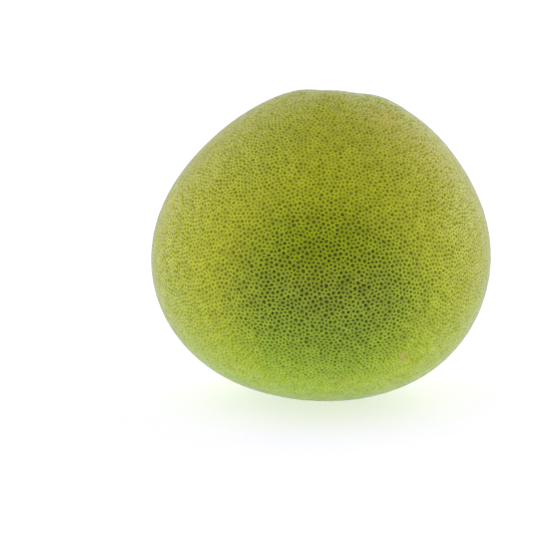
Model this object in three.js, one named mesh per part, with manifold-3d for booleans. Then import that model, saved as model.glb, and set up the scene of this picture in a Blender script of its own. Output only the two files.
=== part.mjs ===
// A whole green pomelo, as picked, standing on its blossom end.
// Millimetres, +Z up. The origin is on the surface it stands on, under the middle of its box.
// The fruit is one solid: a squat pear-shaped ball with a stem-end hollow and a skin of oil-gland pits.
// The woody stem button sits in a seat in that hollow.

import * as THREE from 'three';
import { ConvexHull } from 'three/addons/math/ConvexHull.js';
import { mergeVertices } from 'three/addons/utils/BufferGeometryUtils.js';
import Module from 'manifold-3d';

const wasm = await Module();
wasm.setup();

const degrees = THREE.MathUtils.degToRad;

// Driving size: the fruit across its widest part.
const WIDTH = 150;

// Form, as shares of the mean radius. Each share scales one Legendre term along the stem axis.
const MEAN_RADIUS = 0.487 * WIDTH;
const FLATTENING = 0.0486;
const PEAR = 0.045;
const SHOULDER = 0.005;
const LOPSIDE = 0.034;

// The stem end leans to the right and away from the front.
const STEM_LEAN_RIGHT = degrees(6.9);
const STEM_LEAN_BACK = degrees(9);

// Hollow round the stem, and the soft furrows that run out of it.
const HOLLOW_DEPTH = 4.2;
const HOLLOW_SPREAD = degrees(9.6);
const FURROW_COUNT = 6;
const FURROW_DEPTH = 0.45;
const FURROW_RING = degrees(24);
const FURROW_SPREAD = degrees(11);
const FURROW_TURN = 0.7;

// Slow unevenness of the whole ball.
const WAVE_HEIGHT = 0.25;

// The spot it rests on: how far the round underside is pressed up, and how softly that starts.
const REST_SINK = 1.7;
const REST_BLEND = 0.8;
const REST_TRIM = 0.02;

// Oil glands. They are drawn larger than life here: the real ones are about 2 mm apart.
const GLAND_COUNT = 1120;
const GLAND_DEPTH = 0.9;
const FLOOR_SHARE = 0.4;
const GLAND_UNEVENNESS = 0.35;
const GLAND_SEED = 20817;
const SCATTER = 0.6;
const RELAX_ROUNDS = 6;

// Stem button: a five-lobed dry calyx with the cut stub of the stem on it.
const CALYX_RADIUS = 6;
const CALYX_THICKNESS = 0.8;
const CALYX_LOBES = 5;
const LOBE_SHARE = 0.1;
const STUB_RADIUS = 2.3;
const STUB_HEIGHT = 0.8;
const STUB_CHAMFER = 0.2;
const SEAT_DEPTH = 0.4;
const FIT_GAP = 0.3;
const ROUND_SEGMENTS = 40;

const GREEN_RIND = new THREE.MeshStandardMaterial({ color: 0x9aa32a, roughness: 0.5, metalness: 0 });
const DRY_CALYX = new THREE.MeshStandardMaterial({ color: 0x7a6a42, roughness: 0.85, metalness: 0 });

const UP = new THREE.Vector3(0, 0, 1);
const STEM_AXIS = new THREE.Vector3(Math.tan(STEM_LEAN_RIGHT), Math.tan(STEM_LEAN_BACK), 1).normalize();
const TURN_TO_STEM = new THREE.Quaternion().setFromUnitVectors(UP, STEM_AXIS);

// A repeatable stream of numbers from 0 to 1.
function seededRandom(seed) {
  let state = seed;
  return () => {
    state = (state + 0x6d2b79f5) | 0;
    let mixed = Math.imul(state ^ (state >>> 15), 1 | state);
    mixed = (mixed + Math.imul(mixed ^ (mixed >>> 7), 61 | mixed)) ^ mixed;
    return ((mixed ^ (mixed >>> 14)) >>> 0) / 4294967296;
  };
}

function bell(distance, spread) {
  return Math.exp(-((distance / spread) ** 2));
}

// How far the skin is from the fruit's middle along a direction, without its pits.
function skinRadius(direction) {
  const c = direction.dot(STEM_AXIS);
  const fromStem = Math.acos(THREE.MathUtils.clamp(c, -1, 1));
  const local = direction.clone().applyQuaternion(TURN_TO_STEM.clone().invert());
  const around = Math.atan2(local.y, local.x);

  const second = (3 * c * c - 1) / 2;
  const third = (5 * c ** 3 - 3 * c) / 2;
  const fourth = (35 * c ** 4 - 30 * c * c + 3) / 8;
  const ball = 1 - FLATTENING * second + PEAR * third + SHOULDER * fourth;
  const lean = 1 + LOPSIDE * direction.x * c;

  const hollow = HOLLOW_DEPTH * bell(fromStem, HOLLOW_SPREAD);
  const furrowed = Math.cos(FURROW_COUNT * around + FURROW_TURN);
  const furrow = FURROW_DEPTH * bell(fromStem - FURROW_RING, FURROW_SPREAD) * furrowed;
  const { x, y, z } = direction;
  const across = Math.sin(5.3 * x + 1.1) * Math.sin(4.7 * y + 2.3);
  const upward = Math.sin(6.1 * z + 0.7) * Math.sin(3.9 * x - 1.9);
  const wave = WAVE_HEIGHT * (across + upward);
  return MEAN_RADIUS * ball * lean - hollow - furrow + wave;
}

// The lowest the round body would reach below its middle, found on rings of directions.
function roundDepth() {
  const rings = 60;
  const steps = 90;
  const widest = degrees(40);
  let lowest = 0;
  for (let i = 0; i <= rings; i += 1) {
    for (let j = 0; j < steps; j += 1) {
      const tilt = Math.PI - (widest * i) / rings;
      const direction = new THREE.Vector3().setFromSphericalCoords(1, tilt, (2 * Math.PI * j) / steps);
      direction.set(direction.x, -direction.z, direction.y);
      lowest = Math.min(lowest, direction.z * skinRadius(direction));
    }
  }
  return lowest;
}

const FLOOR = roundDepth() + REST_SINK;

// Presses the underside flat. It is exactly flat where the round body would be REST_BLEND below the floor.
function restHeight(z) {
  const over = z - FLOOR;
  if (over >= REST_BLEND) return z;
  if (over <= -REST_BLEND) return FLOOR;
  return FLOOR + (over + REST_BLEND) ** 2 / (4 * REST_BLEND);
}

// A point of the skin. Pits fade out on the resting spot and under the stem button.
function skinPoint(direction, pit) {
  const round = direction.clone().multiplyScalar(skinRadius(direction));
  const clearOfFloor = THREE.MathUtils.smoothstep(round.z - FLOOR, 0, 3 * REST_BLEND);
  const clearOfStem = THREE.MathUtils.smoothstep(direction.angleTo(STEM_AXIS), degrees(6), degrees(9));
  const sunk = round.clone().addScaledVector(direction, -pit * clearOfFloor * clearOfStem);
  return new THREE.Vector3(sunk.x, sunk.y, restHeight(sunk.z));
}

// Splits the ball round these directions. A corner is where the cells of three glands meet. A ring holds
// the corners of one gland's cell, counter-clockwise seen from outside.
function cells(directions) {
  const hull = new ConvexHull().setFromPoints(directions);
  const cornerAt = new Map(hull.faces.map((face, index) => [face, index]));
  const corners = hull.faces.map((face) => face.normal.clone().normalize());
  const nextCorner = new Map(directions.map((direction) => [direction, new Map()]));
  hull.faces.forEach((face) => {
    [0, 1, 2].forEach((side) => {
      const edge = face.getEdge(side);
      nextCorner.get(edge.tail().point).set(cornerAt.get(edge.twin.face), cornerAt.get(face));
    });
  });
  const rings = directions.map((direction) => {
    const next = nextCorner.get(direction);
    const ring = [next.keys().next().value];
    while (ring.length < next.size) ring.push(next.get(ring.at(-1)));
    return ring;
  });
  return { corners, rings };
}

function middleOf(directions) {
  const sum = directions.reduce((total, direction) => total.add(direction), new THREE.Vector3());
  return sum.normalize();
}

// Evenly spread but irregular directions, one for each gland.
function glandDirections(random) {
  const goldenAngle = Math.PI * (3 - Math.sqrt(5));
  const spacing = Math.sqrt((4 * Math.PI) / GLAND_COUNT);
  const jitter = () => (random() - 0.5) * SCATTER * 2 * spacing;
  let directions = Array.from({ length: GLAND_COUNT }, (_, index) => {
    const z = 1 - (2 * index + 1) / GLAND_COUNT;
    const across = Math.sqrt(1 - z * z);
    const turn = index * goldenAngle;
    const even = new THREE.Vector3(across * Math.cos(turn), across * Math.sin(turn), z);
    return even.add(new THREE.Vector3(jitter(), jitter(), jitter())).normalize();
  });
  for (let round = 0; round < RELAX_ROUNDS; round += 1) {
    const { corners, rings } = cells(directions);
    directions = rings.map((ring) => middleOf(ring.map((corner) => corners[corner])));
  }
  return directions;
}

// The rind: each cell is a pit with a small three-cornered floor, and neighbouring pits share their rims.
function rindGeometry() {
  const random = seededRandom(GLAND_SEED);
  const { corners, rings } = cells(glandDirections(random));
  const points = corners.map((corner) => skinPoint(corner, 0));
  const index = [];
  rings.forEach((ring) => {
    const depth = GLAND_DEPTH * (1 + GLAND_UNEVENNESS * (2 * random() - 1));
    const middle = middleOf(ring.map((corner) => corners[corner]));
    const firstFloor = points.length;
    const floorBy = ring.map((_, i) => firstFloor + Math.floor((3 * i) / ring.length));
    [0, 1, 2].forEach((side) => {
      const nearby = ring.filter((_, i) => floorBy[i] === firstFloor + side).map((corner) => corners[corner]);
      points.push(skinPoint(middle.clone().lerp(middleOf(nearby), FLOOR_SHARE).normalize(), depth));
    });
    index.push(firstFloor, firstFloor + 1, firstFloor + 2);
    ring.forEach((corner, i) => {
      const next = (i + 1) % ring.length;
      index.push(floorBy[i], corner, ring[next]);
      if (floorBy[next] !== floorBy[i]) index.push(floorBy[i], ring[next], floorBy[next]);
    });
  });
  const positions = points.flatMap((point) => point.toArray());
  return new THREE.BufferGeometry()
    .setAttribute('position', new THREE.Float32BufferAttribute(positions, 3))
    .setIndex(index);
}

// Where the button stands: a disc on the stem axis, SEAT_DEPTH under the hollow's lowest skin.
function placeOnStem(geometry, height) {
  const seat = STEM_AXIS.clone().multiplyScalar(skinRadius(STEM_AXIS) - SEAT_DEPTH + height);
  return geometry.applyQuaternion(TURN_TO_STEM).translate(seat.x, seat.y, seat.z);
}

// Lobes widen and narrow the calyx and leave the stub round.
function calyxLobes(geometry) {
  const position = geometry.getAttribute('position');
  for (let i = 0; i < position.count; i += 1) {
    const x = position.getX(i);
    const y = position.getY(i);
    const share = THREE.MathUtils.smoothstep(Math.hypot(x, y), STUB_RADIUS, CALYX_RADIUS);
    const scale = 1 + LOBE_SHARE * share * (Math.cos(CALYX_LOBES * Math.atan2(y, x)) - 1);
    position.setXY(i, x * scale, y * scale);
  }
  return geometry;
}

function buttonGeometry() {
  const rim = CALYX_THICKNESS / 2;
  const top = CALYX_THICKNESS + STUB_HEIGHT;
  const profile = [
    [0, 0],
    [CALYX_RADIUS - rim, 0],
    [CALYX_RADIUS, rim * 0.6],
    [CALYX_RADIUS - rim * 0.4, rim * 1.3],
    [CALYX_RADIUS * 0.75, CALYX_THICKNESS],
    [STUB_RADIUS * 1.5, CALYX_THICKNESS * 0.9],
    [STUB_RADIUS * 1.12, CALYX_THICKNESS * 1.3],
    [STUB_RADIUS, CALYX_THICKNESS * 2],
    [STUB_RADIUS, top - STUB_CHAMFER],
    [STUB_RADIUS - STUB_CHAMFER, top],
    [0, top - STUB_CHAMFER * 0.6],
  ].map(([radius, height]) => new THREE.Vector2(radius, height));
  const turned = new THREE.LatheGeometry(profile, ROUND_SEGMENTS).rotateX(Math.PI / 2);
  return placeOnStem(calyxLobes(turned), FIT_GAP);
}

// A round cutter that leaves FIT_GAP all round the button.
function seatCutter() {
  const clearance = 4 * HOLLOW_DEPTH;
  const radius = CALYX_RADIUS + FIT_GAP;
  const cutter = new THREE.CylinderGeometry(radius, radius, clearance, ROUND_SEGMENTS).rotateX(Math.PI / 2);
  return placeOnStem(cutter, clearance / 2);
}

// A block whose top face trims the resting spot to one clean plane.
function floorCutter() {
  const block = new THREE.BoxGeometry(WIDTH, WIDTH, WIDTH);
  return block.translate(0, 0, FLOOR + REST_TRIM - WIDTH / 2);
}

function toSolid(geometry) {
  const bare = geometry.clone();
  bare.deleteAttribute('normal');
  bare.deleteAttribute('uv');
  const merged = mergeVertices(bare, 1e-4);
  return new wasm.Manifold(
    new wasm.Mesh({
      numProp: 3,
      vertProperties: merged.getAttribute('position').array,
      triVerts: new Uint32Array(merged.index.array),
    }),
  );
}

function toGeometry(solid) {
  const { numProp, numVert, vertProperties, triVerts } = solid.getMesh();
  const positions = new Float32Array(numVert * 3);
  for (let i = 0; i < numVert; i += 1) {
    positions.set(vertProperties.subarray(i * numProp, i * numProp + 3), i * 3);
  }
  const geometry = new THREE.BufferGeometry()
    .setAttribute('position', new THREE.BufferAttribute(positions, 3))
    .setIndex(new THREE.BufferAttribute(triVerts, 1));
  geometry.computeVertexNormals();
  return geometry;
}

function fruitMesh() {
  const solid = toSolid(rindGeometry()).subtract(toSolid(floorCutter())).subtract(toSolid(seatCutter()));
  const mesh = new THREE.Mesh(toGeometry(solid), GREEN_RIND);
  mesh.name = 'pomelo_fruit';
  return mesh;
}

function stemButtonMesh() {
  const mesh = new THREE.Mesh(buttonGeometry(), DRY_CALYX);
  mesh.name = 'stem_button';
  return mesh;
}

// Moves the pieces so that the fruit stands on z = 0 with the middle of its box over the origin.
function standOnOrigin(pomelo, fruit) {
  const box = new THREE.Box3().setFromObject(fruit);
  const middle = box.getCenter(new THREE.Vector3());
  pomelo.children.forEach((mesh) => mesh.position.set(-middle.x, -middle.y, -box.min.z));
  return pomelo;
}

const fruit = fruitMesh();
const pomelo = new THREE.Group();
pomelo.name = 'pomelo';
pomelo.add(fruit, stemButtonMesh());

export default standOnOrigin(pomelo, fruit);
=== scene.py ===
"""A whole green pomelo on a white studio floor, for Blender 4.5.

The skin has the form of the part's own solid, with its oil glands at life size. Each gland is a dark pit
and neighbouring pits share a pale raised net. A dry stem button sits in the hollow at the stem end.
Everything is in metres, with +Z up, and the fruit stands on z = 0.
"""

import logging
import math
from collections.abc import Iterable
from dataclasses import dataclass, field
from enum import Enum

import bpy
import numpy as np
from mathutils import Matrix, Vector
from mathutils.geometry import delaunay_2d_cdt


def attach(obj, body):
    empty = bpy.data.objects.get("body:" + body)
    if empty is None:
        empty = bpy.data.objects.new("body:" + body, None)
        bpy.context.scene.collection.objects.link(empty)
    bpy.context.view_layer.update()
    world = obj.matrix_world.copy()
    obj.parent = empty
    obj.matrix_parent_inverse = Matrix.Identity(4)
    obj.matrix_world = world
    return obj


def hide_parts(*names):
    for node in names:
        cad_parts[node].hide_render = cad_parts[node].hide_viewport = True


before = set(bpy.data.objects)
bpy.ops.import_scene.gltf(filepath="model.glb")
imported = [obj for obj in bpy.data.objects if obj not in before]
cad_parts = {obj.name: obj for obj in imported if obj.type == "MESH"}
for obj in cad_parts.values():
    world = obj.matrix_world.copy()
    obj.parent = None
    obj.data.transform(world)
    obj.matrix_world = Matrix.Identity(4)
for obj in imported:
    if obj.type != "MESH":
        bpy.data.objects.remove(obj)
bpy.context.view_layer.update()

BODY = "root"

log = logging.getLogger("pomelo")

Array = np.ndarray
Colour = tuple[float, float, float, float]
Direction = tuple[float, float, float]
Span = tuple[float, float]
Socket = bpy.types.NodeSocket
Value = float | tuple[float, ...] | Socket

GOLD: Colour = (0.67, 0.54, 0.009, 1.0)
AMBER: Colour = (0.76, 0.47, 0.004, 1.0)
CORK: Colour = (0.60, 0.41, 0.12, 1.0)
DRY_TIP: Colour = (0.24, 0.17, 0.06, 1.0)
WHITE: Colour = (1.0, 1.0, 1.0, 1.0)

GOLDEN_SHARE = 3.0 - math.sqrt(5.0)
TINY = 1e-9


def unit(vectors: Array) -> Array:
    """Vectors, one a row, scaled to a length of 1."""
    return vectors / np.linalg.norm(vectors, axis=-1, keepdims=True)


def bell(distance: Array, spread: float) -> Array:
    """A smooth bump, 1 where distance is 0 and near 0 past twice the spread."""
    return np.exp(-((distance / spread) ** 2))


def smooth_step(value: Array, low: float, high: float) -> Array:
    """0 up to low, 1 from high, and a soft rise between them."""
    share = np.clip((value - low) / (high - low), 0.0, 1.0)
    return share * share * (3.0 - 2.0 * share)


def write_attribute(mesh: bpy.types.Mesh, name: str, values: Array) -> None:
    """Gives each vertex of a mesh a number under a name."""
    mesh.attributes.new(name, "FLOAT", "POINT").data.foreach_set("value", values.astype(np.float32))


def stand(mesh: bpy.types.Mesh) -> bpy.types.Object:
    """Puts a mesh in the scene as an object of the same name.

    Args:
        mesh: The mesh.

    Returns:
        The object.
    """
    piece = bpy.data.objects.new(mesh.name, mesh)
    bpy.context.scene.collection.objects.link(piece)
    return piece


class GlandKind(Enum):
    """The two sorts of oil gland."""

    SMALL = "dimple that narrows to a point"
    LARGE = "pit with a wall and a flat floor"


@dataclass(frozen=True)
class GlandShape:
    """One sort of gland: its share of all, its size beside the mean, its depth and its darkness."""

    share: float
    size: Span
    depth: float
    darkness: Span


@dataclass(frozen=True)
class FruitForm:
    """The fruit's form: how far the skin is from the middle in each direction.

    The shares scale Legendre terms along the stem axis, which leans right and away from the front.
    Each wave is the product of two sines, and each sine has its axis, its rate and its phase.
    """

    mean_radius: float = 0.07305
    flattening: float = 0.0486
    pear: float = 0.045
    shoulder: float = 0.005
    lopside: float = 0.034
    stem_lean_right: float = math.radians(6.9)
    stem_lean_back: float = math.radians(9.0)
    hollow_depth: float = 0.0042
    hollow_spread: float = math.radians(9.6)
    furrow_count: int = 6
    furrow_depth: float = 0.00045
    furrow_ring: float = math.radians(24.0)
    furrow_spread: float = math.radians(11.0)
    furrow_turn: float = 0.7
    wave_height: float = 0.00025
    waves: tuple[tuple[tuple[int, float, float], ...], ...] = (
        ((0, 5.3, 1.1), (1, 4.7, 2.3)),
        ((2, 6.1, 0.7), (0, 3.9, -1.9)),
    )
    rest_sink: float = 0.0017
    rest_blend: float = 0.0008

    @property
    def stem_axis(self) -> Array:
        """The direction of the stem end."""
        return unit(np.array([math.tan(self.stem_lean_right), math.tan(self.stem_lean_back), 1.0]))

    @property
    def across_stem(self) -> tuple[Array, Array]:
        """Two directions square to the stem axis, from turning +X and +Y with +Z onto that axis."""
        turn = Vector((0.0, 0.0, 1.0)).rotation_difference(Vector(self.stem_axis))
        return np.array(turn @ Vector((1.0, 0.0, 0.0))), np.array(turn @ Vector((0.0, 1.0, 0.0)))

    def from_stem(self, directions: Array) -> Array:
        """The angle of each direction from the stem axis, in radians."""
        return np.arccos(np.clip(directions @ self.stem_axis, -1.0, 1.0))

    def radius(self, directions: Array) -> Array:
        """How far the skin is from the middle, before the underside is pressed flat.

        Args:
            directions: Unit vectors, one a row.

        Returns:
            One distance for each direction.
        """
        c = directions @ self.stem_axis
        angle = self.from_stem(directions)
        right, back = self.across_stem
        around = np.arctan2(directions @ back, directions @ right)
        second = (3 * c**2 - 1) / 2
        third = (5 * c**3 - 3 * c) / 2
        fourth = (35 * c**4 - 30 * c**2 + 3) / 8
        ball = 1 - self.flattening * second + self.pear * third + self.shoulder * fourth
        lean = 1 + self.lopside * directions[:, 0] * c
        hollow = self.hollow_depth * bell(angle, self.hollow_spread)
        furrow = self.furrow_depth * bell(angle - self.furrow_ring, self.furrow_spread)
        furrow = furrow * np.cos(self.furrow_count * around + self.furrow_turn)
        wave = self.wave_height * self.wave(directions)
        return self.mean_radius * ball * lean - hollow - furrow + wave

    def wave(self, directions: Array) -> Array:
        """The skin's wide, low unevenness, as shares of the wave height.

        Args:
            directions: Unit vectors, one a row.

        Returns:
            One share for each direction.
        """
        total = np.zeros(len(directions))
        for pair in self.waves:
            total += math.prod(np.sin(rate * directions[:, axis] + phase) for axis, rate, phase in pair)
        return total

    def skin(self, directions: Array, sink: Array) -> Array:
        """Points of the skin, with the underside pressed flat where the fruit rests.

        Args:
            directions: Unit vectors from the middle, one a row.
            sink: How far each point lies under the net of the skin.

        Returns:
            One point for each direction, from the fruit's middle.
        """
        points = directions * self.radius(directions)[:, None]
        floor = points[:, 2].min() + self.rest_sink
        over = points[:, 2] - floor
        pressed = floor + np.clip(over + self.rest_blend, 0.0, None) ** 2 / (4 * self.rest_blend)
        points[:, 2] = np.where(over < self.rest_blend, pressed, points[:, 2])
        return points - directions * sink[:, None]


@dataclass
class SphereNet:
    """Triangles between directions spread over the whole ball."""

    directions: Array
    triangles: Array = field(init=False)

    def __post_init__(self) -> None:
        """Joins the directions on a flat map seen from one of them, and closes the map over that one."""
        pole = int(np.argmin(self.directions[:, 2]))
        axis = -self.directions[pole]
        side = unit(np.cross(axis, [0.0, 1.0, 0.0]))
        basis = np.stack([side, np.cross(axis, side), axis], axis=1)
        others = np.delete(np.arange(len(self.directions)), pole)
        turned = self.directions[others] @ basis
        flat = turned[:, :2] / (1.0 + turned[:, 2:3])
        whole_hull = 0
        found = delaunay_2d_cdt([Vector(point) for point in flat.tolist()], [], [], whole_hull, TINY)
        _, _, corners, sources, _, _ = found
        original = np.array([source[0] for source in sources])
        inner = others[original[np.array(corners)]]
        rim = self.edges_of(inner)
        rim = rim[self.twins_of(inner) < 0]
        closing = np.column_stack([rim[:, 1], rim[:, 0], np.full(len(rim), pole)])
        self.triangles = np.concatenate([inner, closing])

    @staticmethod
    def edges_of(triangles: Array) -> Array:
        """The three directed edges of each triangle, in the triangles' order."""
        return np.stack([triangles, np.roll(triangles, -1, axis=1)], axis=2).reshape(-1, 2)

    @classmethod
    def twins_of(cls, triangles: Array) -> Array:
        """Finds the triangle on the other side of each edge.

        Args:
            triangles: Three corner numbers a row.

        Returns:
            For each edge of edges_of, the row of its neighbour, or -1 at an open rim.
        """
        edges = cls.edges_of(triangles).astype(np.int64)
        count = int(triangles.max()) + 1
        ahead = edges[:, 0] * count + edges[:, 1]
        back = edges[:, 1] * count + edges[:, 0]
        order = np.argsort(ahead)
        place = np.clip(np.searchsorted(ahead[order], back), 0, len(order) - 1)
        match = order[place]
        return np.where(ahead[match] == back, match // 3, -1)


@dataclass
class GlandScatter:
    """Where the oil glands are and how big each one is.

    They start on an even spiral, are scattered by a share of their spacing, and are then pushed apart.
    """

    count: int = 21500
    shapes: dict[GlandKind, GlandShape] = field(
        default_factory=lambda: {
            GlandKind.SMALL: GlandShape(0.71, size=(0.78, 0.98), depth=0.00060, darkness=(0.66, 1.15)),
            GlandKind.LARGE: GlandShape(0.29, size=(1.00, 1.16), depth=0.00075, darkness=(0.70, 0.86)),
        }
    )
    depth_spread: Span = (0.8, 1.2)
    scatter: float = 0.4
    push_rounds: int = 3
    pushes: int = 7
    push_share: float = 0.22
    reach: float = 1.12
    seed: int = 20817

    @property
    def spacing(self) -> float:
        """The angle between neighbours if all were evenly spread, in radians."""
        return math.sqrt(8.0 * math.pi / (math.sqrt(3.0) * self.count))

    def spread(self) -> tuple[Array, Array, Array, SphereNet]:
        """Places the glands so that each one keeps room for its size.

        Returns:
            The glands' directions, their sizes beside the mean, which ones are large, and the net
            between them.
        """
        random = np.random.default_rng(self.seed)
        number = np.arange(self.count) + 0.5
        height = 1.0 - 2.0 * number / self.count
        turn = number * math.pi * GOLDEN_SHARE
        across = np.sqrt(1.0 - height**2)
        even = np.stack([across * np.cos(turn), across * np.sin(turn), height], axis=1)
        directions = unit(even + random.normal(0.0, self.scatter * self.spacing, even.shape))
        large = random.random(self.count) < self.shapes[GlandKind.LARGE].share
        sizes = self.drawn("size", large, random)
        sizes = sizes / sizes.mean()
        for _ in range(self.push_rounds):
            net = SphereNet(directions)
            directions = self.push_apart(directions, sizes, net)
        return directions, sizes, large, SphereNet(directions)

    def drawn(self, measure: str, large: Array, random: np.random.Generator) -> Array:
        """Draws one measure for each gland, within the limits of its sort.

        Args:
            measure: The name of a pair of limits in GlandShape.
            large: Which glands are large.
            random: The seeded source of chance.

        Returns:
            One number for each gland.
        """
        limits = {kind: getattr(shape, measure) for kind, shape in self.shapes.items()}
        draws = {kind: random.uniform(*pair, len(large)) for kind, pair in limits.items()}
        return np.where(large, draws[GlandKind.LARGE], draws[GlandKind.SMALL])

    def push_apart(self, directions: Array, sizes: Array, net: SphereNet) -> Array:
        """Moves glands that are too close away from each other.

        Args:
            directions: Unit vectors, one a row.
            sizes: Each gland's size beside the mean.
            net: The net between the glands.

        Returns:
            The moved directions.
        """
        first, second = SphereNet.edges_of(net.triangles).T
        room = self.reach * self.spacing * (sizes[first] + sizes[second]) / 2.0
        for _ in range(self.pushes):
            gap = directions[second] - directions[first]
            length = np.linalg.norm(gap, axis=1)
            push = self.push_share * np.clip(room - length, 0.0, None) / np.maximum(length, TINY)
            moves = np.zeros_like(directions)
            np.add.at(moves, first, -gap * push[:, None])
            directions = unit(directions + moves)
        return directions


@dataclass(frozen=True)
class Unevenness:
    """A noise: its features in a metre, how many finer layers it has, and how strong they are."""

    scale: float
    detail: float = 2.0
    roughness: float = 0.6


class NodeBoard:
    """Adds and joins the nodes of one shader tree."""

    NOISE_SPAN: Span = (0.3, 0.7)

    def __init__(self, tree: bpy.types.NodeTree) -> None:
        """Starts with an empty tree."""
        self.tree = tree
        tree.nodes.clear()

    def add(
        self, kind: str, inputs: dict[str | int, Value] | None = None, **settings: object
    ) -> bpy.types.Node:
        """Adds one node.

        Args:
            kind: The node's Blender type.
            inputs: Socket name or number to a value, or to the output that feeds it.
            **settings: The node's own properties.

        Returns:
            The new node.
        """
        node = self.tree.nodes.new(kind)
        for name, value in settings.items():
            setattr(node, name, value)
        for name, value in (inputs or {}).items():
            if isinstance(value, bpy.types.NodeSocket):
                self.tree.links.new(value, node.inputs[name])
            else:
                node.inputs[name].default_value = value
        return node

    def sum(self, operation: str, *values: Value) -> Socket:
        """One step of arithmetic between numbers or outputs."""
        return self.add("ShaderNodeMath", dict(enumerate(values)), operation=operation).outputs[0]

    def vector(self, operation: str, *values: Value) -> Socket:
        """One step of arithmetic between vectors that gives a vector."""
        return self.add("ShaderNodeVectorMath", dict(enumerate(values)), operation=operation).outputs[0]

    def along(self, vector: Value, direction: Vector) -> Socket:
        """How far a vector reaches along a direction."""
        inputs = {0: vector, 1: tuple(direction)}
        return self.add("ShaderNodeVectorMath", inputs, operation="DOT_PRODUCT").outputs["Value"]

    def scaled(self, colour: Value, amount: Value) -> Socket:
        """A colour made lighter or darker by an amount."""
        inputs = {0: colour, "Scale": amount}
        return self.add("ShaderNodeVectorMath", inputs, operation="SCALE").outputs[0]

    def mix(self, factor: Value, first: Value, second: Value) -> Socket:
        """Mixes two colours.

        Args:
            factor: How much of the second there is.
            first: A colour or an output.
            second: A colour or an output.

        Returns:
            The mixed colour's output.
        """
        first_colour, second_colour, mixed_colour = 6, 7, 2
        inputs = {0: factor, first_colour: first, second_colour: second}
        return self.add("ShaderNodeMix", inputs, data_type="RGBA").outputs[mixed_colour]

    def rise(self, value: Value, span: Span, to: Span = (0.0, 1.0)) -> Socket:
        """A soft step.

        Args:
            value: The number that drives it.
            span: Where the step starts and ends.
            to: The results at its start and end.

        Returns:
            The step's output.
        """
        node = self.add("ShaderNodeMapRange", {"Value": value}, interpolation_type="SMOOTHSTEP")
        for name, limit in zip(("From Min", "From Max", "To Min", "To Max"), (*span, *to)):
            node.inputs[name].default_value = limit
        return node.outputs[0]

    def noise(self, place: Socket, kind: Unevenness) -> Socket:
        """Soft unevenness, from 0 to 1.

        Args:
            place: Where it is read.
            kind: How coarse and how rough it is.

        Returns:
            The noise's output.
        """
        layers = {"Scale": kind.scale, "Detail": kind.detail, "Roughness": kind.roughness}
        return self.add("ShaderNodeTexNoise", {"Vector": place, **layers}).outputs[0]

    def uneven(self, noise: Socket, to: Span) -> Socket:
        """Stretches a noise, whose values crowd round its middle, to run between two results."""
        return self.rise(noise, self.NOISE_SPAN, to)

    def attribute(self, name: str) -> Socket:
        """The value that each vertex carries under a name."""
        return self.add("ShaderNodeAttribute", attribute_name=name).outputs["Fac"]


def new_material(name: str) -> tuple[bpy.types.Material, NodeBoard]:
    """Makes an empty material with nodes.

    Args:
        name: The material's name.

    Returns:
        The material and the board for its nodes.
    """
    material = bpy.data.materials.new(name)
    material.use_nodes = True
    return material, NodeBoard(material.node_tree)


@dataclass(frozen=True)
class SkinMark:
    """An oval mark on the skin.

    Its half size goes across it and up it, and the edge says where it starts and where it is full, as
    shares of the half size.
    """

    direction: Direction
    half_size: Span
    colour: Colour
    strength: float
    turn: float = 0.0
    lift: float = 0.0
    edge: Span = (1.15, 0.75)

    def axes(self) -> tuple[Vector, Vector]:
        """Works out the mark's own directions.

        Returns:
            Two directions along the skin: across the mark and up it.
        """
        out = Vector(self.direction).normalized()
        level = Vector((0.0, 0.0, 1.0)).cross(out).normalized()
        steep = out.cross(level)
        across = level * math.cos(self.turn) + steep * math.sin(self.turn)
        up = steep * math.cos(self.turn) - level * math.sin(self.turn)
        return across, up


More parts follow.
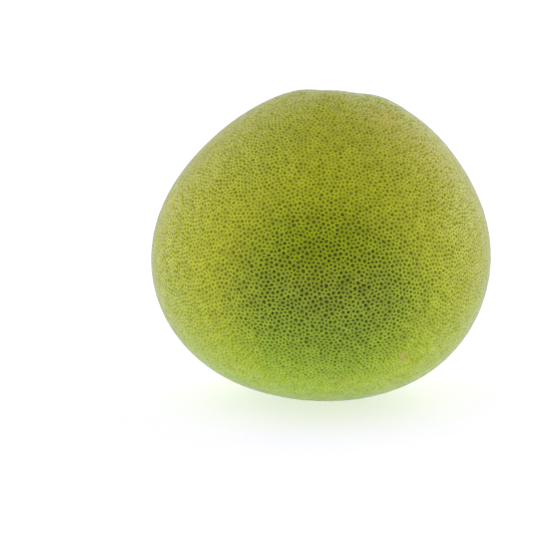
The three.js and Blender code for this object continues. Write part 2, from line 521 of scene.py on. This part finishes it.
@dataclass(frozen=True)
class RindFinish:
    """Waxy yellow-green skin: a pale net round dark pits, riper at the top than on its green cheeks,
    which also carry painted shade.

    Heights are over the floor; towards the bottom the skin is lightened by painted light from the floor
    below.
    Shades and lights are shares of a colour's brightness.
    """

    net_green: Colour = (0.395, 0.575, 0.008, 1.0)
    net_ripe: Colour = (0.630, 0.655, 0.009, 1.0)
    pit_green: Colour = (0.190, 0.295, 0.001, 1.0)
    pit_ripe: Colour = (0.370, 0.395, 0.002, 1.0)
    pit_edge: Span = (0.16, 0.60)
    pit_waver: Span = (-0.13, 0.13)
    # The cheeks, one in front and one low at the back, are greener and also carry painted shade: net and
    # pits are darkened there.
    shaded_green_cheeks: tuple[Direction, ...] = ((0.02, -0.99, -0.10), (-0.25, 0.92, -0.30))
    cheek_span: Span = (0.75, 1.00)
    cheek_greenness: float = 0.45
    painted_net_shade: float = 0.23
    painted_pit_shade: float = 0.64
    ripening_heights: Span = (0.0, 0.09)
    ripest: float = 0.88
    ripeness_drift: Span = (-0.08, 0.14)
    # Painted light from the floor below: net and pits are lightened towards the bottom.
    painted_bounce_heights: Span = (0.060, 0.005)
    painted_bounce_on_net: float = 0.20
    painted_bounce_on_pits: float = 0.75
    net_speckle: Span = (0.86, 1.08)
    net_drift: Span = (0.05, -0.05)
    drift: Unevenness = Unevenness(26.0, detail=3.0, roughness=0.55)
    speckle: Unevenness = Unevenness(240.0)
    waver: Unevenness = Unevenness(800.0)
    grain: Unevenness = Unevenness(2600.0)
    grain_relief: float = 0.22
    bump_strength: float = 0.35
    bump_height: float = 0.00012
    roughness_net_to_pit: Span = (0.27, 0.80)
    roughness_grain: Span = (-0.04, 0.04)
    specular: float = 0.30
    sheen: float = 1.00
    sheen_roughness: float = 0.38
    mark_fray: Span = (-0.15, 0.15)
    mark_reach: Span = (-0.012, -0.008)

    def make(self, marks: Iterable[tuple[SkinMark, Vector]], middle: Vector) -> bpy.types.Material:
        """Builds the material.

        Args:
            marks: Each mark with the point of the skin that it is on.
            middle: The fruit's middle.

        Returns:
            The material.
        """
        material, board = new_material("waxy_rind")
        place = board.add("ShaderNodeTexCoord").outputs["Object"]
        height = board.add("ShaderNodeSeparateXYZ", {0: place}).outputs["Z"]
        drift = board.noise(place, self.drift)
        speckle = board.noise(place, self.speckle)
        waver = board.noise(place, self.waver)
        grain = board.noise(place, self.grain)
        # Painted shade on the cheeks, which are also greener.
        shaded_cheek = self.shaded_cheek_share(board, place, middle)
        ripe = self.ripeness(board, height, drift, shaded_cheek)
        # Painted light from the floor: 1 near the bottom, fading out higher up.
        under = board.rise(height, self.painted_bounce_heights)

        light = board.uneven(speckle, self.net_speckle)
        light = board.sum("ADD", light, board.uneven(drift, self.net_drift))
        # Painted shade: the net is darkened on the cheeks.
        light = board.sum("SUBTRACT", light, board.sum("MULTIPLY", shaded_cheek, self.painted_net_shade))
        # Painted light: the net is lightened towards the bottom.
        light = board.sum("ADD", light, board.sum("MULTIPLY", under, self.painted_bounce_on_net))
        net = board.scaled(board.mix(ripe, self.net_green, self.net_ripe), light)
        # Painted shade: the pits are darkened on the cheeks.
        shade = board.sum("SUBTRACT", 1.0, board.sum("MULTIPLY", shaded_cheek, self.painted_pit_shade))
        # Painted light: the pits are lightened towards the bottom.
        shade = board.sum("ADD", shade, board.sum("MULTIPLY", under, self.painted_bounce_on_pits))
        pit = board.scaled(board.mix(ripe, self.pit_green, self.pit_ripe), shade)
        gland = board.sum("ADD", board.attribute("gland"), board.uneven(waver, self.pit_waver))
        deep = board.rise(gland, self.pit_edge)
        colour = board.mix(deep, net, pit)
        rough = board.rise(deep, (0.0, 1.0), self.roughness_net_to_pit)
        rough = board.sum("ADD", rough, board.uneven(grain, self.roughness_grain))
        relief = board.sum("SUBTRACT", board.sum("MULTIPLY", grain, self.grain_relief), deep)

        for mark, point in marks:
            share = self.mark_share(board, place, mark, point, speckle)
            colour = board.mix(share, colour, mark.colour)
            relief = board.sum("ADD", relief, board.sum("MULTIPLY", share, mark.lift))

        bumps = {"Strength": self.bump_strength, "Distance": self.bump_height, "Height": relief}
        bump = board.add("ShaderNodeBump", bumps)
        skin = board.add(
            "ShaderNodeBsdfPrincipled",
            {
                "Base Color": colour,
                "Roughness": rough,
                "Normal": bump.outputs[0],
                "Specular IOR Level": self.specular,
                "Sheen Weight": self.sheen,
                "Sheen Roughness": self.sheen_roughness,
            },
        )
        board.add("ShaderNodeOutputMaterial", {"Surface": skin.outputs[0]})
        return material

    def shaded_cheek_share(self, board: NodeBoard, place: Socket, middle: Vector) -> Socket:
        """How far each place is on one of the green cheeks, which also carry painted shade.

        Args:
            board: The material's board.
            place: Where the skin is read.
            middle: The fruit's middle.

        Returns:
            An output that is 1 in the middle of one of the cheeks and 0 away from them all.
        """
        outward = board.vector("NORMALIZE", board.vector("SUBTRACT", place, tuple(middle)))
        shaded_cheek = 0.0
        for direction in self.shaded_green_cheeks:
            facing = board.along(outward, Vector(direction).normalized())
            shaded_cheek = board.sum("ADD", shaded_cheek, board.rise(facing, self.cheek_span))
        return shaded_cheek

    def ripeness(self, board: NodeBoard, height: Socket, drift: Socket, shaded_cheek: Socket) -> Socket:
        """How ripe each place is.

        Args:
            board: The material's board.
            height: The place's height.
            drift: A wide noise.
            shaded_cheek: How far the place is on one of the green cheeks, which carry painted shade.

        Returns:
            An output from 0, green, to 1, yellow.
        """
        ripe = board.rise(height, self.ripening_heights, (0.0, self.ripest))
        ripe = board.sum("ADD", ripe, board.uneven(drift, self.ripeness_drift))
        ripe = board.sum("SUBTRACT", ripe, board.sum("MULTIPLY", shaded_cheek, self.cheek_greenness))
        return board.add("ShaderNodeClamp", {"Value": ripe}).outputs[0]

    def mark_share(
        self, board: NodeBoard, place: Socket, mark: SkinMark, point: Vector, speckle: Socket
    ) -> Socket:
        """How much of a mark covers each place.

        Args:
            board: The material's board.
            place: Where the skin is read.
            mark: The mark.
            point: The point of the skin under its middle.
            speckle: A noise that frays its edge.

        Returns:
            An output from 0 to the mark's strength.
        """
        across, up = mark.axes()
        away = board.vector("SUBTRACT", place, tuple(point))
        x = board.along(away, across / mark.half_size[0])
        y = board.along(away, up / mark.half_size[1])
        reach = board.sum("ADD", board.sum("MULTIPLY", x, x), board.sum("MULTIPLY", y, y))
        frayed = board.sum("ADD", board.sum("SQRT", reach), board.uneven(speckle, self.mark_fray))
        front = board.along(away, Vector(mark.direction).normalized())
        near = board.rise(front, self.mark_reach, (0.0, mark.strength))
        return board.sum("MULTIPLY", board.rise(frayed, mark.edge), near)


@dataclass
class Rind:
    """The fruit's skin: every gland as geometry, over the whole form.

    The floor of a large gland reaches out by a share of the spacing, but no further than the limit, a
    share of the way to its rim.
    """

    form: FruitForm = field(default_factory=FruitForm)
    glands: GlandScatter = field(default_factory=GlandScatter)
    finish: RindFinish = field(default_factory=RindFinish)
    floor_share: float = 0.10
    floor_limit: float = 0.7
    net_unevenness: float = 0.00002
    marks: tuple[SkinMark, ...] = (
        SkinMark((0.621, -0.433, 0.653), (0.019, 0.022), GOLD, strength=0.30, turn=0.5, edge=(1.5, 0.1)),
        SkinMark((0.368, -0.339, 0.866), (0.0120, 0.0090), GOLD, strength=0.35, edge=(1.4, 0.2)),
        SkinMark((0.300, -0.250, 0.920), (0.0009, 0.0009), AMBER, strength=0.65),
        SkinMark((0.410, -0.258, 0.875), (0.0009, 0.0012), AMBER, strength=0.70),
        SkinMark((0.383, -0.419, 0.823), (0.0012, 0.0010), AMBER, strength=0.75, turn=0.4),
        SkinMark((0.463, -0.745, -0.480), (0.00085, 0.0026), CORK, strength=0.95, turn=0.45, lift=1.2),
        SkinMark((-0.121, -0.158, -1.000), (0.0024, 0.0024), DRY_TIP, strength=0.85, lift=-1.0),
    )
    middle: Array = field(init=False)

    def build(self) -> bpy.types.Object:
        """Builds and dresses the skin.

        Returns:
            The skin, standing where the solid fruit stands.
        """
        directions, sizes, large, net = self.glands.spread()
        log.info("glands: %d, large ones: %d", len(directions), int(large.sum()))
        points_at, sink, gland, faces = self.cells(directions, sizes, large, net.triangles)
        points = self.form.skin(points_at, sink)
        low, high = points.min(axis=0), points.max(axis=0)
        self.middle = -np.array([*(low + high)[:2] / 2, low[2]])
        mesh = bpy.data.meshes.new("rind_skin")
        mesh.from_pydata((points + self.middle).tolist(), [], faces.tolist())
        write_attribute(mesh, "gland", gland)
        mesh.shade_smooth()
        placed = [(mark, self.point_on_skin(mark.direction)) for mark in self.marks]
        mesh.materials.append(self.finish.make(placed, Vector(self.middle)))
        return stand(mesh)

    def point_on_skin(self, direction: Direction) -> Vector:
        """The point of the skin in one direction from the middle."""
        way = unit(np.array([direction]))
        return Vector(way[0] * self.form.radius(way)[0] + self.middle)

    def cells(
        self, directions: Array, sizes: Array, large: Array, triangles: Array
    ) -> tuple[Array, Array, Array, Array]:
        """Builds one pit for each gland, with rims shared by neighbours.

        Args:
            directions: The glands' directions.
            sizes: Their sizes beside the mean.
            large: Which of them are large.
            triangles: The net between them.

        Returns:
            Directions of all vertices, how far each is sunk, its share of a pit, and the faces.
        """
        random = np.random.default_rng(self.glands.seed + 1)
        count = len(directions)
        weight = (1.0 / sizes)[triangles][:, :, None]
        corners = unit((directions[triangles] * weight).sum(axis=1))
        owner = SphereNet.edges_of(triangles)[:, 0]
        left = np.repeat(np.arange(len(triangles)), 3)
        right = SphereNet.twins_of(triangles)
        shapes = self.glands.shapes
        depth = np.where(large, shapes[GlandKind.LARGE].depth, shapes[GlandKind.SMALL].depth)
        depth = depth * sizes * random.uniform(*self.glands.depth_spread, count)
        darkness = self.glands.drawn("darkness", large, random)

        spoke = large[owner]
        spoke_owner, spoke_corner = owner[spoke], left[spoke]
        gap = corners[spoke_corner] - directions[spoke_owner]
        reach = self.floor_share * self.glands.spacing * sizes[spoke_owner] / np.linalg.norm(gap, axis=1)
        floor_rim = unit(directions[spoke_owner] + gap * np.clip(reach, 0.0, self.floor_limit)[:, None])

        first_corner = count
        first_floor = count + len(corners)
        floor_at = {
            (gland, corner): first_floor + number
            for number, (gland, corner) in enumerate(zip(spoke_owner.tolist(), spoke_corner.tolist()))
        }
        plain = np.column_stack([owner, first_corner + right, first_corner + left])[~spoke]
        sides = zip(spoke_owner.tolist(), right[spoke].tolist(), spoke_corner.tolist())
        walled = self.walls_and_floors(sides, floor_at, first_corner)
        uneven = random.normal(0.0, self.net_unevenness, len(corners))
        points_at = np.concatenate([directions, corners, floor_rim])
        sink = np.concatenate([depth, uneven, depth[spoke_owner]])
        gland_share = np.concatenate([darkness, np.zeros(len(corners)), darkness[spoke_owner]])
        faces = np.concatenate([plain, np.array(walled)])
        used, faces = np.unique(faces, return_inverse=True)
        return points_at[used], sink[used], gland_share[used], faces.reshape(-1, 3)

    @staticmethod
    def walls_and_floors(
        sides: Iterable[tuple[int, int, int]], floor_at: dict[tuple[int, int], int], first_corner: int
    ) -> list[tuple[int, int, int]]:
        """The faces of the large glands: a wall under each side of the rim, and a fan for the floor.

        Args:
            sides: For each side of a rim, its gland and the two corners that it joins.
            floor_at: The floor's vertex number for each gland and corner.
            first_corner: The vertex number of the first corner.

        Returns:
            Three vertex numbers a face.
        """
        faces: list[tuple[int, int, int]] = []
        start: dict[int, int] = {}
        for gland, near, far in sides:
            floor_near, floor_far = floor_at[gland, near], floor_at[gland, far]
            rim_near, rim_far = first_corner + near, first_corner + far
            faces += [(floor_near, rim_near, rim_far), (floor_near, rim_far, floor_far)]
            fan = start.setdefault(gland, floor_near)
            if fan not in (floor_near, floor_far):
                faces.append((fan, floor_near, floor_far))
        return faces


@dataclass(frozen=True)
class ButtonFinish:
    """Dry brown-green calyx with a paler cut of wood in its middle."""

    husk: Colour = (0.16, 0.13, 0.045, 1.0)
    husk_dark: Colour = (0.06, 0.05, 0.02, 1.0)
    wood: Colour = (0.42, 0.31, 0.16, 1.0)
    wood_dark: Colour = (0.22, 0.14, 0.06, 1.0)
    blotch: Unevenness = Unevenness(420.0, detail=3.0)
    fibre: Unevenness = Unevenness(2400.0, detail=3.0, roughness=0.65)
    soft_edge: Span = (0.35, 0.65)
    cut_edge: Span = (0.35, 0.75)
    fibre_edge: Span = (0.4, 0.75)
    fibre_shade: float = 0.6
    ring_shade: float = 0.6
    ring_relief: float = 0.4
    bump_strength: float = 0.7
    bump_height: float = 0.00012
    roughness: Span = (0.7, 0.92)

    def make(self) -> bpy.types.Material:
        """Builds the material.

        Returns:
            The material.
        """
        material, board = new_material("dry_calyx_and_wood")
        place = board.add("ShaderNodeTexCoord").outputs["Object"]
        blotch = board.noise(place, self.blotch)
        fibre = board.noise(place, self.fibre)
        ring = board.rise(board.attribute("ring"), self.soft_edge)
        husk = board.mix(board.rise(blotch, self.soft_edge), self.husk_dark, self.husk)
        wood = board.mix(board.sum("MULTIPLY", ring, self.ring_shade), self.wood, self.wood_dark)
        streak = board.rise(fibre, self.fibre_edge, (0.0, self.fibre_shade))
        wood = board.mix(streak, wood, self.wood_dark)
        colour = board.mix(board.rise(board.attribute("cut"), self.cut_edge), husk, wood)
        relief = board.sum("ADD", fibre, board.sum("MULTIPLY", ring, self.ring_relief))
        bumps = {"Strength": self.bump_strength, "Distance": self.bump_height, "Height": relief}
        bump = board.add("ShaderNodeBump", bumps)
        rough = board.uneven(blotch, self.roughness)
        wood_skin = board.add(
            "ShaderNodeBsdfPrincipled",
            {"Base Color": colour, "Roughness": rough, "Normal": bump.outputs[0]},
        )
        board.add("ShaderNodeOutputMaterial", {"Surface": wood_skin.outputs[0]})
        return material


@dataclass
class StemButton:
    """The five-lobed dry calyx and the flush-cut stub of the stem on it.

    A span says where a soft step starts and ends, as shares of the stub's radius or of the button's.
    """

    form: FruitForm
    middle: Array
    finish: ButtonFinish = field(default_factory=ButtonFinish)
    radius: float = 0.006
    thickness: float = 0.0008
    stub_radius: float = 0.0023
    stub_height: float = 0.0008
    stub_edge: Span = (0.94, 1.12)
    stub_waves: int = 5
    stub_wave_height: float = 0.00005
    cut_edge: Span = (0.8, 1.05)
    growth_ring: float = 0.00016
    husk_edge: Span = (0.86, 1.0)
    edge_thickness: float = 0.35
    creases: int = 4
    fewest_creases: int = 9
    crease_step: int = 4
    crease_height: float = 0.00012
    crease_start: Span = (1.0, 1.6)
    collar_height: float = 0.0003
    collar_place: float = 1.35
    collar_spread: float = 0.3
    skirt_share: float = 0.96
    seat_depth: float = 0.0004
    gap: float = 0.0003
    lobes: int = 5
    lobe_share: float = 0.1
    segments: int = 90
    rings: int = 22
    seed: int = 5

    def build(self) -> bpy.types.Object:
        """Builds and dresses the button.

        Returns:
            The button, in its hollow at the stem end.
        """
        random = np.random.default_rng(self.seed)
        phases = random.uniform(0.0, 2.0 * math.pi, self.creases)
        around = np.linspace(0.0, 2.0 * math.pi, self.segments, endpoint=False)
        share = np.linspace(0.0, 1.0, self.rings + 1)[1:]
        turn, out = np.meshgrid(around, share)
        radius = self.radius * out
        height = self.profile(radius, turn, phases)
        lobe = smooth_step(radius, self.stub_radius, self.radius) * self.lobe_share
        radius = radius * (1.0 + lobe * (np.cos(self.lobes * turn) - 1.0))
        top = np.stack([radius * np.cos(turn), radius * np.sin(turn), height], axis=-1).reshape(-1, 3)
        skirt = top[-self.segments :] * [self.skirt_share, self.skirt_share, 0.0]
        skirt[:, 2] = -self.thickness
        crown = np.array([[0.0, 0.0, float(height[0].mean())]])
        base = np.array([[0.0, 0.0, -self.thickness]])
        points = np.concatenate([crown, top, skirt, base])
        from_middle = out.ravel() * self.radius
        below = np.zeros(self.segments + 1)
        cut = 1.0 - self.step(from_middle, self.stub_radius, self.cut_edge)
        ring = 0.5 + 0.5 * np.sin(from_middle / self.growth_ring)
        mesh = bpy.data.meshes.new("stem_button_husk")
        mesh.from_pydata(self.placed(points).tolist(), [], self.faces(len(points)))
        write_attribute(mesh, "cut", np.concatenate([[1.0], cut, below]))
        write_attribute(mesh, "ring", np.concatenate([[0.0], ring, below]))
        mesh.shade_smooth()
        mesh.materials.append(self.finish.make())
        return stand(mesh)

    @staticmethod
    def step(radius: Array, size: float, span: Span) -> Array:
        """A soft step from 0 to 1 between two shares of a size."""
        return smooth_step(radius, size * span[0], size * span[1])

    def profile(self, radius: Array, turn: Array, phases: Array) -> Array:
        """The button's height over the bottom of its seat.

        Args:
            radius: Distance from its middle.
            turn: Angle round it.
            phases: Where its creases lie.

        Returns:
            One height for each place.
        """
        stub = 1.0 - self.step(radius, self.stub_radius, self.stub_edge)
        inner = 1.0 - self.step(radius, self.radius, self.husk_edge)
        husk = self.thickness * (self.edge_thickness + (1.0 - self.edge_thickness) * inner)
        counts = [self.fewest_creases + self.crease_step * number for number in range(self.creases)]
        sines = [np.sin(count * turn + phase) for count, phase in zip(counts, phases)]
        creases = sum(sines) / self.creases
        outside_stub = self.step(radius, self.stub_radius, self.crease_start)
        husk = husk + self.crease_height * creases * outside_stub
        from_collar = radius - self.stub_radius * self.collar_place
        collar = self.collar_height * bell(from_collar, self.stub_radius * self.collar_spread)
        uneven = self.stub_wave_height * np.sin(self.stub_waves * turn + phases[0]) * stub
        return husk + collar + (self.stub_height * stub + uneven)

    def faces(self, count: int) -> list[tuple[int, ...]]:
        """The button's faces: a crown, rows of quads, a skirt and a closed base.

        Args:
            count: How many vertices it has.

        Returns:
            The faces' vertex numbers.
        """
        n = self.segments
        following = [(j + 1) % n for j in range(n)]
        faces: list[tuple[int, ...]] = [(0, 1 + j, 1 + k) for j, k in enumerate(following)]
        for row in range(self.rings):
            near, far = 1 + row * n, 1 + (row + 1) * n
            faces += [(near + j, far + j, far + k, near + k) for j, k in enumerate(following)]
        last = 1 + self.rings * n
        faces += [(last + j, count - 1, last + k) for j, k in enumerate(following)]
        return faces

    def placed(self, points: Array) -> Array:
        """Stands the button's points on the stem axis, in its hollow.

        Args:
            points: The points with the button upright, its seat at 0.

        Returns:
            The points in place.
        """
        axis = self.form.stem_axis
        right, back = self.form.across_stem
        seat = self.form.radius(axis[None, :])[0] - self.seat_depth + self.gap
        return points @ np.stack([right, back, axis]) + axis * seat + self.middle


@dataclass(frozen=True)
class LightTableFinish:
    """Matt white acrylic lit from below, so that shadows on it stay pale."""

    white: Colour = (0.675, 0.640, 0.715, 1.0)
    shade: Colour = (0.655, 0.620, 0.695, 1.0)
    glow: Colour = (0.970, 0.975, 1.08, 1.0)
    glow_strength: float = 0.575
    pulp: Unevenness = Unevenness(14.0, detail=3.0, roughness=0.5)
    roughness: float = 0.9
    specular: float = 0.1

    def make(self) -> bpy.types.Material:
        """Builds the material.

        Returns:
            The material.
        """
        material, board = new_material("lit_acrylic")
        place = board.add("ShaderNodeTexCoord").outputs["Object"]
        cloud = board.uneven(board.noise(place, self.pulp), (0.0, 1.0))
        colour = board.mix(cloud, self.shade, self.white)
        table = board.add(
            "ShaderNodeBsdfPrincipled",
            {
                "Base Color": colour,
                "Roughness": self.roughness,
                "Specular IOR Level": self.specular,
                "Emission Color": self.glow,
                "Emission Strength": self.glow_strength,
            },
        )
        board.add("ShaderNodeOutputMaterial", {"Surface": table.outputs[0]})
        return material


@dataclass(frozen=True)
class SkyPatch:
    """A soft patch of light on the studio's white surround.

    The span is the cosine of the angle from the patch's middle where it starts and is full.
    """

    toward: Direction
    span: Span
    strength: float


@dataclass
class Studio:
    """White floor, the camera, and soft light from the sides, behind, above and low at the right."""

    middle: Array
    finish: LightTableFinish = field(default_factory=LightTableFinish)
    patches: tuple[SkyPatch, ...] = (
        SkyPatch((-0.95, 0.00, 0.30), (0.30, 0.90), 0.97),
        SkyPatch((0.95, 0.10, 0.25), (0.30, 0.90), 0.66),
        SkyPatch((0.90, -0.40, 0.00), (0.70, 0.98), 0.42),
        SkyPatch((-0.55, 0.83, 0.00), (0.40, 0.90), 0.75),
        SkyPatch((0.60, 0.80, -0.05), (0.40, 0.90), 1.35),
        SkyPatch((0.00, -0.15, 1.00), (0.60, 0.95), 0.42),
    )
    floor_radius: float = 7.0
    floor_sides: int = 96
    lens_mm: float = 135.0
    distance: float = 0.8923
    elevation: float = math.radians(10.0)
    clip_far: float = 40.0
    aim_left: float = 0.0248
    aim_down: float = 0.0071

    def build(self) -> None:
        """Builds the floor, the light and the camera."""
        self.lay_floor()
        self.light_world()
        self.set_camera()
        settings = bpy.context.scene.view_settings
        settings.view_transform = "Standard"
        settings.look = "None"

    def lay_floor(self) -> None:
        """Lays a wide round floor at z = 0."""
        turns = [2.0 * math.pi * i / self.floor_sides for i in range(self.floor_sides)]
        rim = [(self.floor_radius * math.cos(t), self.floor_radius * math.sin(t), 0.0) for t in turns]
        mesh = bpy.data.meshes.new("studio_floor")
        mesh.from_pydata(rim, [], [tuple(range(self.floor_sides))])
        mesh.materials.append(self.finish.make())
        floor = stand(mesh)

    def light_world(self) -> None:
        """Lights the scene from its surround, dark in front, which the camera sees as plain white."""
        world = bpy.data.worlds.new("soft_studio")
        bpy.context.scene.world = world
        world.use_nodes = True
        board = NodeBoard(world.node_tree)
        way = board.add("ShaderNodeTexCoord").outputs["Generated"]
        strength = 0.0
        for patch in self.patches:
            facing = board.along(way, Vector(patch.toward).normalized())
            strength = board.sum("ADD", strength, board.rise(facing, patch.span, (0.0, patch.strength)))
        lit = board.add("ShaderNodeBackground", {"Color": WHITE, "Strength": strength})
        seen = board.add("ShaderNodeBackground", {"Color": WHITE, "Strength": 1.0})
        to_camera = board.add("ShaderNodeLightPath").outputs["Is Camera Ray"]
        both = board.add("ShaderNodeMixShader", {0: to_camera, 1: lit.outputs[0], 2: seen.outputs[0]})
        board.add("ShaderNodeOutputWorld", {"Surface": both.outputs[0]})

    def set_camera(self) -> None:
        """Sets a long lens at the photograph's angle, with the fruit right of the frame's middle."""
        data = bpy.data.cameras.new("photo_camera")
        data.lens = self.lens_mm
        data.clip_end = self.clip_far
        camera = bpy.data.objects.new("photo_camera", data)
        up = Vector((0.0, math.sin(self.elevation), math.cos(self.elevation)))
        back = Vector((0.0, -math.cos(self.elevation), math.sin(self.elevation)))
        middle = Vector(self.middle)
        aim = middle + Vector((-self.aim_left, 0.0, 0.0)) - up * self.aim_down
        camera.location = middle + back * self.distance
        camera.rotation_mode = "QUATERNION"
        camera.rotation_quaternion = (aim - camera.location).to_track_quat("-Z", "Y")
        bpy.context.scene.collection.objects.link(camera)
        bpy.context.scene.camera = camera


def hand_over(piece: bpy.types.Object, node: str) -> None:
    """Lets a piece stand for a solid node and ride where it rides.

    Args:
        piece: The finished piece.
        node: The solid that it stands for.
    """
    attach(piece, BODY)
    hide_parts(node)
    log.info("%s: %d vertices, %d faces", piece.name, len(piece.data.vertices), len(piece.data.polygons))


def main() -> None:
    """Builds the pomelo and the studio round it."""
    logging.basicConfig(level=logging.INFO, format="%(name)s: %(message)s")
    rind = Rind()
    hand_over(rind.build(), "pomelo_fruit")
    button = StemButton(form=rind.form, middle=rind.middle)
    hand_over(button.build(), "stem_button")
    Studio(middle=rind.middle).build()


if __name__ == "__main__":
    main()
